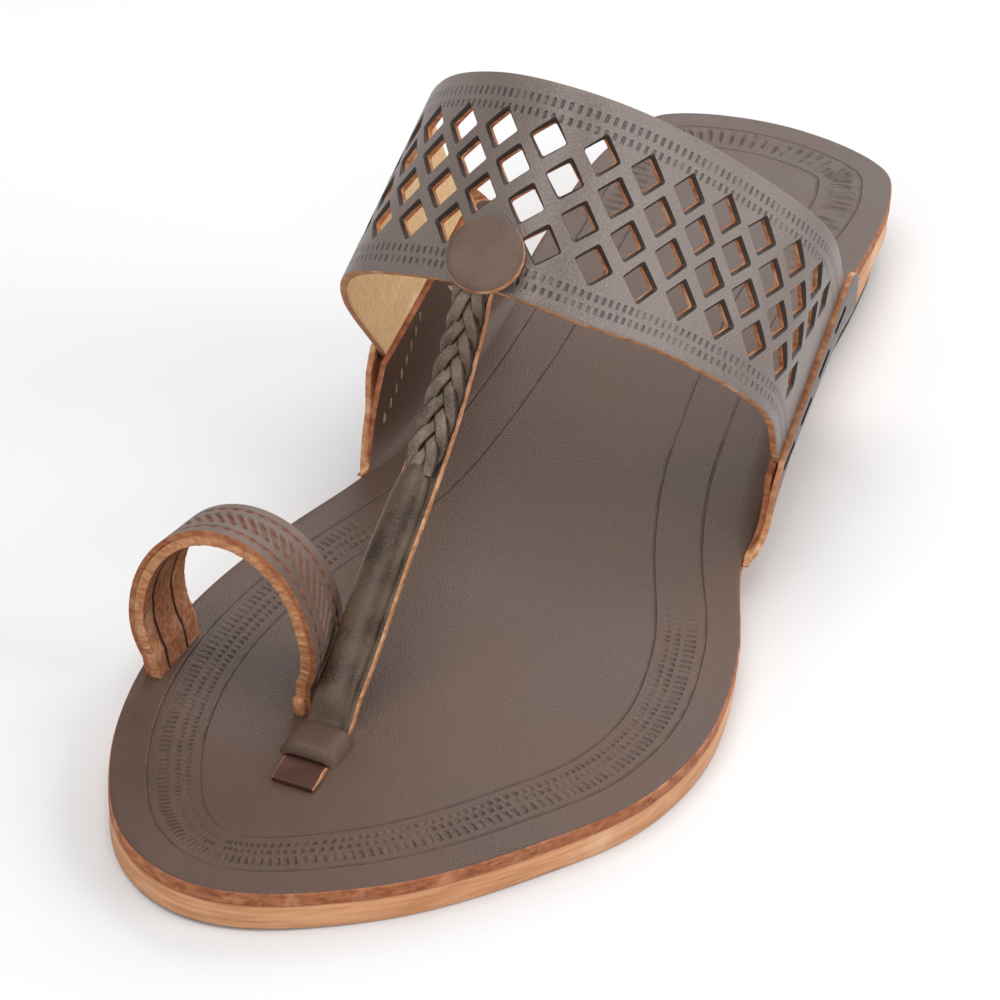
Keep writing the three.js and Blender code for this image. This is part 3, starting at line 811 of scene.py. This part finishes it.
def outerEarStand(ear, t, below):
    # where a punch stands on the outer ear, below the rim by so many millimetres
    rim = outerEarSpot(ear, t, 1.0)
    v = 1.0
    while v > 0.1 and (outerEarSpot(ear, t, v) - rim).length < below:
        v -= 0.01
    here = outerEarSpot(ear, t, v)
    along = (outerEarSpot(ear, t + 0.02, v) - outerEarSpot(ear, t - 0.02, v)).normalized()
    upward = (outerEarSpot(ear, t, v + 0.03) - outerEarSpot(ear, t, v - 0.03)).normalized()
    outward = along.cross(upward).normalized() * ear["side"]
    return stand(here, along, outward)


def blockPunch(name, length, width, materials):
    bm = bmesh.new()
    bmesh.ops.create_cube(bm, size=1)
    bmesh.ops.scale(bm, verts=bm.verts, vec=(length, width, 6))
    upright = [e for e in bm.edges if abs(e.verts[0].co.z - e.verts[1].co.z) > 1]
    bmesh.ops.bevel(bm, geom=upright, offset=width * 0.45, offset_type="OFFSET", affect="EDGES",
                    segments=3, profile=0.5, material=-1)
    mesh = bpy.data.meshes.new(name)
    bm.to_mesh(mesh)
    bm.free()
    for material in materials:
        mesh.materials.append(material)
    return mesh


# the slot and eye walls are painted near-black: painted shade for the dark gap behind them
slotPunch = blockPunch("laceSlot", 6.2, 1.4, [slotWallShade])
eyePunch = blockPunch("threadEye", 2.4, 2.4, [slotWallShade])
lacing = {"slots": [0.1, 0.31, 0.5, 0.66], "below": 3.4, "eye": 0.88, "eyeBelow": 6.5}
for name, ear in ears.items():
    title = name.capitalize()
    inner = makePiece("innerEar" + title, gridMesh(
        fold["columns"], fold["rootRows"] + fold["sideRows"], innerEarPlace(ear),
        lambda u, v: (u * 60, v * 30 + 200)), [insoleLeather, tanEdge, redEdge],
        "insole")
    faceTowards(inner, Vector((-ear["side"], 0, 0)))
    thicken(inner, earWall, -1.0, even=False)
    outer = makePiece("outerEar" + title, gridMesh(
        fold["columns"], skirt["rows"], outerEarPlace(ear), lambda u, v: (u * 60, v * 30)),
        [earLeather, tanEdge], "outer_ear_" + name)
    faceTowards(outer, Vector((ear["side"], 0, 0)))
    thicken(outer, earWall, 0.0, rim=1, even=False)
    punchHoles(outer, slotPunch, [outerEarStand(ear, t, lacing["below"]) for t in lacing["slots"]])
    punchHoles(outer, eyePunch, [outerEarStand(ear, lacing["eye"], lacing["eyeBelow"])])

stitch = {"count": 8, "length": 2.2, "thick": 0.3, "t": (0.06, 0.3), "j": (0.3, 0.78)}
medial = ears["medial"]
stitches = bmesh.new()
for k in range(stitch["count"]):
    j = mix(stitch["j"][0], stitch["j"][1], k / (stitch["count"] - 1))
    t = mix(stitch["t"][0], stitch["t"][1], k / (stitch["count"] - 1))
    spots = []
    for step in (-0.03, 0.03):
        footY, y, z = earPlace(medial, t, j + step)
        x = innerEarX(medial, t, j + step, footY) + earWall / 2
        spots.append(Vector((x, y, z)))
    ahead = (spots[1] - spots[0]).normalized()
    middle = (spots[0] + spots[1]) / 2
    made = bmesh.ops.create_uvsphere(stitches, u_segments=10, v_segments=6, radius=1)
    turn = ahead.to_track_quat("Z", "X").to_matrix().to_4x4()
    shape = Matrix.Diagonal((stitch["thick"] * mm, stitch["thick"] * mm, stitch["length"] / 2 * mm, 1))
    spot = Matrix.Translation(place(middle.x, middle.y, middle.z))
    bmesh.ops.transform(stitches, matrix=spot @ turn @ shape, verts=made["verts"])
makePiece("earStitches", stitches, [thread], "insole", 80)
print("ears ready")

# instep band, punched in four rows
band = {
    "columns": 220, "rows": 40, "tuck": 4.5, "holeSide": 4.55, "flare": 0.65, "flareDeep": 0.75,
    "pitch": 9.37, "rowPlaces": [29.1, 22.96, 16.65, 10.4], "firstX": 10.6, "firstLean": -1.07,
    "hidden": (3, 3),  # the row and place of the hole that the button covers
}
bandWidth = 39.2
samples = 400
bandEnd = band["tuck"] / legStep
bandAt = [mix(-bandEnd, 8 + bandEnd, k / samples) for k in range(samples + 1)]


def wayAlong(w):
    # distances along the band at w across it, one for each sample
    spots = [bandPoint(at, w) for at in bandAt]
    distances = [0.0]
    for a, b in zip(spots, spots[1:]):
        distances.append(distances[-1] + (b - a).length)
    return distances, spots


def atFromWay(distances, distance):
    distance = min(max(distance, 0.0), distances[-1])
    k = 0
    while distances[k + 1] < distance and k < samples - 1:
        k += 1
    t = (distance - distances[k]) / (distances[k + 1] - distances[k])
    return mix(bandAt[k], bandAt[k + 1], t)


middleWay, _ = wayAlong(0.5)


def bandPlace(u, v):
    spot = bandPoint(atFromWay(middleWay, u * middleWay[-1]), v)
    return place(spot.x, spot.y, spot.z)


bandPiece = makePiece("instepBand", gridMesh(
    band["columns"], band["rows"], bandPlace,
    lambda u, v: (u * middleWay[-1], v * bandWidth)), [bandLeather, fleshSide, tanEdge],
    "upper")
faceTowards(bandPiece, Vector((0, 0, 1)))
thicken(bandPiece, bandWall, 0.0)

# the punch: a square cutter with a flared mouth that turns the grain down into the hole
punch = bmesh.new()
bmesh.ops.create_circle(punch, cap_ends=True, segments=4, radius=band["holeSide"] / math.sqrt(2))
bmesh.ops.translate(punch, verts=punch.verts, vec=(0, 0, -3))
if punch.faces[:][0].normal.z > 0:
    bmesh.ops.reverse_faces(punch, faces=punch.faces[:])
for rise, grow in ((3 + bandWall / 2 - band["flareDeep"], 1.0),
                   (band["flareDeep"] + 0.15, 1 + 2 * band["flare"] / band["holeSide"])):
    top = max(punch.faces, key=lambda f: f.calc_center_median().z)
    grown = bmesh.ops.extrude_face_region(punch, geom=[top])
    raised = [g for g in grown["geom"] if isinstance(g, bmesh.types.BMVert)]
    if len(punch.faces) > 6:
        bmesh.ops.delete(punch, geom=[top], context="FACES_ONLY")
    bmesh.ops.translate(punch, verts=raised, vec=(0, 0, rise))
    bmesh.ops.scale(punch, verts=raised, vec=(grow, grow, 1))
# the flared mouth takes the second material, the dark painted shade of the hole rim
for face in punch.faces:
    centre = face.calc_center_median()
    face.material_index = 1 if centre.z > bandWall / 2 - band["flareDeep"] + 0.05 else 0
corners = [e for e in punch.edges if abs(e.verts[0].co.z - e.verts[1].co.z) > 0.2]
bmesh.ops.bevel(punch, geom=corners, offset=0.35, offset_type="OFFSET", affect="EDGES", segments=2,
                profile=0.5, material=-1)
bmesh.ops.recalc_face_normals(punch, faces=punch.faces)
punchMesh = bpy.data.meshes.new("squarePunch")
punch.to_mesh(punchMesh)
punch.free()
punchMesh.materials.append(punchedWall)
punchMesh.materials.append(holeRimShade)

places = []
for row, v in enumerate(band["rowPlaces"]):
    w = v / bandWidth
    distances, spots = wayAlong(w)
    firstX = bandStart.x + band["firstX"] + band["firstLean"] * (w - 0.5)
    k = next(k for k in range(samples // 3, samples) if spots[k + 1].x > firstX)
    t = (firstX - spots[k].x) / (spots[k + 1].x - spots[k].x)
    firstWay = mix(distances[k], distances[k + 1], t)
    for hole in range(-1, 11 if row == 2 else 12):
        if (row, hole) == band["hidden"]:
            continue
        away = (hole - 4 - (0.5 if row % 2 else 0)) * band["pitch"]
        here, along, outward = bandFrame(atFromWay(distances, firstWay + away), w)
        places.append(stand(here, along, outward))
punchHoles(bandPiece, punchMesh, places)
print("band ready", len(bandPiece.data.polygons))

# toe strap: a flat backing with a rolled lower part, a plait over it and a tab under the bridge
strap = {
    "x": [-0.2, -0.4, -0.9, -1.3, -1.7, -1.7, -1.6, -1.5, -1.2, -0.5, 0.4, 1.4, 2.3, 3.2, 3.7, 4, 4.2],
    "y": [-104.4, -100.4, -98.1, -95.8, -91.8, -88.8, -86.4, -83.2, -77.6, -68, -58.4, -50.8,
          -47, -46.2, -46.2, -44.2, -39.8],
    "z": [8.95, 8.95, 7.5, 6.35, 6.35, 6.5, 8.3, 12.4, 17.9, 30, 40.6, 51.8, 61.6, 68, 72.4, 76.4, 80],
    "half": [3.8, 3.9, 4, 4, 4, 4, 4, 4, 3.9, 3.8, 3.5, 3.3, 3.2, 3.2, 3.2, 3.2, 3.2],
    "lift": [0, 0, 0, 0, 0, 0, 0.3, 1.8, 2.2, 2.3, 2.4, 2.4, 2.2, 1.5, 0.6, 0.2, 0],
    "sag": [0.75, 0.55, 0, 0, 0, 0, 0, 0, 0, 0, 0, 0, 0, 0, 0, 0, 0],
    "wall": 1.6,
    "skived": 0.6,  # the tab's end is pared down to this wall
}
strap["row"] = list(range(len(strap["x"])))
strapEnd = strap["row"][-1]


def strapRow(at):
    here = Vector([column(strap, "row", axis, at) for axis in "xyz"])
    low, high = max(at - 0.05, 0.0), min(at + 0.05, strapEnd)
    ahead = Vector([column(strap, "row", axis, high) - column(strap, "row", axis, low) for axis in "xyz"])
    right = Vector((1, 0, 0))
    up = right.cross(ahead.normalized()).normalized()
    return here, right, up


def strapPath(fromRow, toRow, count):
    return [strapRow(mix(fromRow, toRow, k / count)) for k in range(count + 1)]


def backingProfile(u, v):
    at = u * strapEnd
    half = column(strap, "row", "half", at)
    wall = mix(strap["skived"], strap["wall"], smoothStep(at, 0, 1.8))
    sag = column(strap, "row", "sag", at) + 0.15
    # round the section in eight steps: under side, right edge, top side, left edge
    corner = 0.3 if wall > 1 else 0.15
    loop = [(-half + corner, -wall / 2), (half - corner, -wall / 2), (half, -wall / 2 + corner),
            (half, wall / 2 - corner), (half - corner, wall / 2), (-half + corner, wall / 2),
            (-half, wall / 2 - corner), (-half, -wall / 2 + corner), (-half + corner, -wall / 2)]
    x, h = loop[round(v * 8)]
    return x, h - sag


backingMesh = sweepMesh(strapPath(0, strapEnd, 130), 8, backingProfile)
layer = backingMesh.loops.layers.uv["leather"]
for face in backingMesh.faces:
    section = sum((loop[layer].uv[1] for loop in face.loops)) / len(face.loops)
    nearToe = sum((vert.co.y for vert in face.verts)) / len(face.verts) < -97 * mm
    if len(face.verts) > 4:
        face.material_index = 3
    elif nearToe and 4.9 < section < 6.3:
        face.material_index = 3
    elif section < 1.25:
        face.material_index = 1
    elif 1.25 < section < 5 or section > 6.25:
        face.material_index = 2
    else:
        face.material_index = 0
makePiece("strapBacking", backingMesh, [strapLeather, fleshSide, tanEdge, tabLeather],
          "upper")

plait = {"start": 10.15, "end": 14.7, "strands": 5, "pitch": 26.0, "wide": 1.2, "thick": 0.5,
         "deep": 0.95, "height": 1.8}


def rollProfile(u, v):
    at = mix(5.3, plait["start"] + 0.5, u)
    half = column(strap, "row", "half", at) - 0.4
    lift = max(column(strap, "row", "lift", at), 0.05)
    taper = 1 - 0.5 * smoothStep(u, 0.84, 1.0)
    angle = v * 2 * math.pi
    across, height = math.cos(angle), math.sin(angle)
    if height < 0:
        return across * half * taper - 0.55, 0.4 + height * 0.2
    return across * half * taper - 0.55, 0.4 + (height ** 0.75) * (lift + 0.55) * taper


makePiece("strapRoll", sweepMesh(
    strapPath(5.3, plait["start"] + 0.5, 64), 28, rollProfile), [strapLeather],
    "upper", 60)


def strandPath(phase):
    # a flat strand that passes over on its way in from either edge and under on its way out
    count = 240
    rows = [mix(plait["start"], plait["end"], k / count) for k in range(count + 1)]
    spots = [strapRow(at) for at in rows]
    way = 0.0
    centres = []
    for k, (here, right, up) in enumerate(spots):
        if k:
            way += (here - spots[k - 1][0]).length
        turn = 2 * math.pi * way / plait["pitch"] + phase
        reach = column(strap, "row", "half", rows[k]) - plait["wide"] + 0.1
        gather = smoothStep(way, 0.0, 5.0)
        across = math.cos(turn) * reach * mix(0.6, 1, gather)
        height = plait["height"] + math.sin(2 * turn) * plait["deep"] * gather
        centres.append((here + right * across + up * height, up))
    path = []
    for k, (here, up) in enumerate(centres):
        ahead = (centres[min(k + 1, count)][0] - centres[max(k - 1, 0)][0]).normalized()
        flat = ahead.cross(up).normalized()
        path.append((here, flat, flat.cross(ahead).normalized()))
    return path


def strandProfile(u, v):
    angle = v * 2 * math.pi
    across, height = math.cos(angle), math.sin(angle)
    wide = math.copysign(abs(across) ** 0.6, across) * plait["wide"]
    return wide, math.copysign(abs(height) ** 0.6, height) * plait["thick"]


for k in range(plait["strands"]):
    strand = sweepMesh(strandPath(2 * math.pi * k / plait["strands"]), 14, strandProfile)
    makePiece("plaitStrand" + str(k + 1), strand, [plaitLeather], "upper", 60)

# a small tan curl of leather where the plait is caught under the button
here, right, up = strapRow(14.25)
path = []
for step in range(9):
    t = step / 8
    bend = math.radians(30 + 100 * t)
    spot = here - right * (2.9 + 1.5 * t) + up * (1.7 - 0.9 * t * t)
    path.append((spot, Vector((0, math.cos(bend), math.sin(bend))), up))
curl = sweepMesh(path, 8, lambda u, v: (math.cos(v * 2 * math.pi) * 0.55 * (1.1 - u * 0.6),
                                        math.sin(v * 2 * math.pi) * 0.3))
makePiece("strapCurl", curl, [tanEdge], "upper", 60)
print("strap ready")

# bridge of the footbed over the end of the strap
bridge = {"front": -97.0, "back": -88.0, "centre": -1.2, "half": 5.7, "crown": 10.2, "sink": 0.9}


def bridgePlace(u, v):
    # a cushion of leather whose rims turn down below the top of the insole
    across, down = 2 * u - 1, 2 * v - 1
    y = mix(bridge["front"], bridge["back"], v)
    x = bridge["centre"] + across * bridge["half"] * (1 - 0.08 * abs(down) ** 3)
    base = insoleTop(y) - bridge["sink"]
    hump = (1 - abs(across) ** 4.5) ** 0.8
    rim = (1 - abs(down) ** 7) * 0.55 + 0.45
    return place(x, y, base + (bridge["crown"] - base) * hump * rim)


bridgePiece = makePiece("insoleBridge", gridMesh(
    48, 24, bridgePlace, lambda u, v: (u * 16, 300)), [insoleLeather, fleshSide, redEdge],
    "insole", 60)
faceTowards(bridgePiece, Vector((0, 0, 1)))
thicken(bridgePiece, 1.2, -1.0, even=False)

# toe ring: tooled outer leather over a thick suede lining
ring = {
    "frontCentre": -22.1, "rearCentre": -22.9, "centreHeight": 20.0, "frontHalf": 17.4,
    "rearHalf": 16.3, "frontTop": 21.3, "rearTop": 17.3, "drop": 17.0, "front": -87.5, "rear": -72.5,
    "reach": (math.radians(32), math.radians(24)), "feet": (-35.6, -6.1), "turn": 0.86,
    "length": 98.0, "footBack": 2.6, "torn": 0.2,
}


def ringPoint(u, v, inward):
    y = mix(ring["front"], ring["rear"], v) + ring["footBack"] * smoothStep(u, 0.76, 0.97)
    half = mix(ring["frontHalf"], ring["rearHalf"], v) - inward
    middle = mix(ring["frontCentre"], ring["rearCentre"], v)
    footEnd = (1 - ring["turn"]) / 2

    def loop(angle):
        top = mix(ring["frontTop"], ring["rearTop"], v) - inward
        radius = top if math.sin(angle) > 0 else ring["drop"] - inward * 0.3
        return Vector((middle + half * math.cos(angle), y,
                       ring["centreHeight"] + radius * math.sin(angle)))

    if footEnd <= u <= 1 - footEnd:
        t = (u - footEnd) / ring["turn"]
        return loop(mix(math.pi + ring["reach"][0], -ring["reach"][1], t))
    k = 0 if u < footEnd else 1
    t = (u if k == 0 else 1 - u) / footEnd
    base = Vector((ring["feet"][k] + (-inward if k else inward), y, outsoleTop(y) + 0.4))
    join = loop(-ring["reach"][1] if k else math.pi + ring["reach"][0])
    return base.lerp(join, t)


def pressedDepth(u, v):
    # how deep the tool has gone in at u round the ring and v across it, both in millimetres
    away = abs(v - ringPattern["width"] / 2)
    phase = (u + v * ringPattern["slant"]) % ringPattern["pitch"]
    fromGap = min(phase, ringPattern["pitch"] - phase)
    gap = (1 - smoothStep(fromGap, 0.3, 0.75)) * (1 - smoothStep(away, ringPattern["reach"],
                                                                ringPattern["reach"] + 0.5))
    fromSeam = min(abs(v - ringPattern["seam"]), abs(v - ringPattern["width"] + ringPattern["seam"]))
    stitched = 0.55 + 0.45 * math.cos(u * 2 * math.pi / 3.1)
    seam = (1 - smoothStep(fromSeam, 0.15, 0.6)) * stitched
    return ringPattern["deep"] * max(gap, seam)


def ringPiece(name, inward, wall, materials, columns, rows, tooled):
    def placeAt(u, v):
        deep = pressedDepth(u * ring["length"], v * ringPattern["width"]) if tooled else 0.0
        spot = ringPoint(u, v, inward + deep)
        if not tooled:
            torn = math.sin(u * 190) * math.sin(u * 67 + 2) * math.sin(u * 431)
            spot.y += ring["torn"] * torn * ((1 - v) ** 9 - v ** 9)
        return place(spot.x, spot.y, spot.z)

    piece = makePiece(name, gridMesh(
        columns, rows, placeAt, lambda u, v: (u * ring["length"], v * ringPattern["width"])),
        materials, "toe_ring")
    centre = place(ring["frontCentre"], (ring["front"] + ring["rear"]) / 2, ring["centreHeight"])
    outward = sum((p.center - centre).dot(p.normal) * p.area for p in piece.data.polygons)
    if outward < 0:
        piece.data.flip_normals()
    thicken(piece, wall, -1.0, edge=0.0 if tooled else 0.3, even=not tooled)
    return piece


ringPiece("toeRingOuter", 0.0, 0.9, [ringLeather, fleshSide, redEdge], 300, 44, True)
ringPiece("toeRingLining", 1.05, 1.75, [fleshSide, ringLining, tanEdge], 260, 20, False)

# a frayed lump of flesh side is left where the ring goes down beside the strap
frayed = bmesh.new()
bmesh.ops.create_icosphere(frayed, subdivisions=3, radius=1)
for vert in frayed.verts:
    ripple = math.sin(vert.co.x * 7 + 1) * math.sin(vert.co.y * 6) * math.sin(vert.co.z * 5 + 2)
    vert.co *= 1 + 0.16 * ripple
bmesh.ops.transform(frayed, matrix=Matrix.Translation(place(-7.9, -85.3, 9.0)) @ Matrix.Rotation(
    math.radians(-14), 4, "Y") @ Matrix.Diagonal((1.2 * mm, 1.2 * mm, 2.3 * mm, 1)), verts=frayed.verts)
makePiece("toeRingFrayedEnd", frayed, [tanEdge], "toe_ring", 80)
print("ring ready")

# button over the join of strap and band
button = {"radius": 6.8, "wall": 2.0, "along": 4.6, "x": 4.6, "lift": 3.4}
disc = bmesh.new()
profile = [(0, 0), (0.82, 0), (0.98, 0.12), (1, 0.45), (0.985, 0.8), (0.93, 0.95), (0.8, 1.0),
           (0.5, 1.08), (0.25, 1.1), (0, 1.1)]
chain = [disc.verts.new((r * button["radius"], 0, h * button["wall"] - 0.9)) for r, h in profile]
links = [disc.edges.new(pair) for pair in zip(chain, chain[1:])]
bmesh.ops.spin(disc, geom=chain + links, cent=(0, 0, 0), axis=(0, 0, 1), angle=2 * math.pi,
               steps=64, use_merge=True)
bmesh.ops.remove_doubles(disc, verts=disc.verts, dist=0.001)
bmesh.ops.recalc_face_normals(disc, faces=disc.faces)
for face in disc.faces:
    centre = face.calc_center_median()
    face.material_index = 1 if centre.z < 0.55 and centre.xy.length > 5.5 else 0
seat = bandStart + bandAxis * button["along"] + bandUp * (button["lift"] + 0.6)
tilt = Matrix.Rotation(climb, 4, "X")
bmesh.ops.transform(disc, matrix=Matrix.Scale(mm, 4) @ Matrix.Translation(
    Vector((button["x"] + lineX, seat.y, seat.z))) @ tilt, verts=disc.verts)
makePiece("bandButton", disc, [buttonLeather, tanEdge], "button", 40)

# floor, light and camera
floorMesh = bmesh.new()
bmesh.ops.create_grid(floorMesh, x_segments=1, y_segments=1, size=6)
floorData = bpy.data.meshes.new("studioFloor")
floorMesh.to_mesh(floorData)
floorMesh.free()
floor = bpy.data.objects.new("studioFloor", floorData)
scene.collection.objects.link(floor)
floorPaint, floorTree, floorShader = startMaterial("mattWhiteFloor")
floorShader.inputs["Base Color"].default_value = (0.68, 0.68, 0.685, 1)
floorShader.inputs["Roughness"].default_value = 0.9
floorShader.inputs["Specular IOR Level"].default_value = 0.1
floorData.materials.append(floorPaint)


def softLight(name, spot, target, size, power):
    data = bpy.data.lights.new(name, "AREA")
    data.shape = "RECTANGLE"
    data.size, data.size_y = size
    data.energy = power
    lamp = bpy.data.objects.new(name, data)
    scene.collection.objects.link(lamp)
    lamp.location = spot
    lamp.rotation_euler = (Vector(target) - Vector(spot)).to_track_quat("-Z", "Y").to_euler()


softLight("backSoftbox", (0.2, 1.5, 1.05), (0, 0, 0.03), (2.2, 1.2), 25)
softLight("sideSoftbox", (1.4, 0.1, 0.7), (0, 0, 0.04), (1.0, 1.0), 12)
softLight("overheadSoftbox", (-0.1, -0.35, 1.5), (0, 0, 0.03), (1.1, 1.1), 14)
softLight("frontSoftbox", (-0.1, -1.5, 0.85), (0, 0, 0.04), (0.9, 0.9), 8)
world = bpy.data.worlds.new("studio")
world.use_nodes = True
world.node_tree.nodes["Background"].inputs[0].default_value = (1, 1, 1, 1)
world.node_tree.nodes["Background"].inputs[1].default_value = 0.38
scene.world = world
scene.view_settings.view_transform = "Standard"

cameraData = bpy.data.cameras.new("camera")
cameraData.sensor_width = 36
cameraData.lens = 148.66
camera = bpy.data.objects.new("camera", cameraData)
scene.collection.objects.link(camera)
camera.location = (0.21654, -0.59638, 0.43190)
aim = Vector((-0.01585, 0.0, 0.00025)) - camera.location
camera.rotation_mode = "QUATERNION"
camera.rotation_quaternion = aim.to_track_quat("-Z", "Y") @ Matrix.Rotation(
    math.radians(3.61), 3, "Z").to_quaternion()
scene.camera = camera
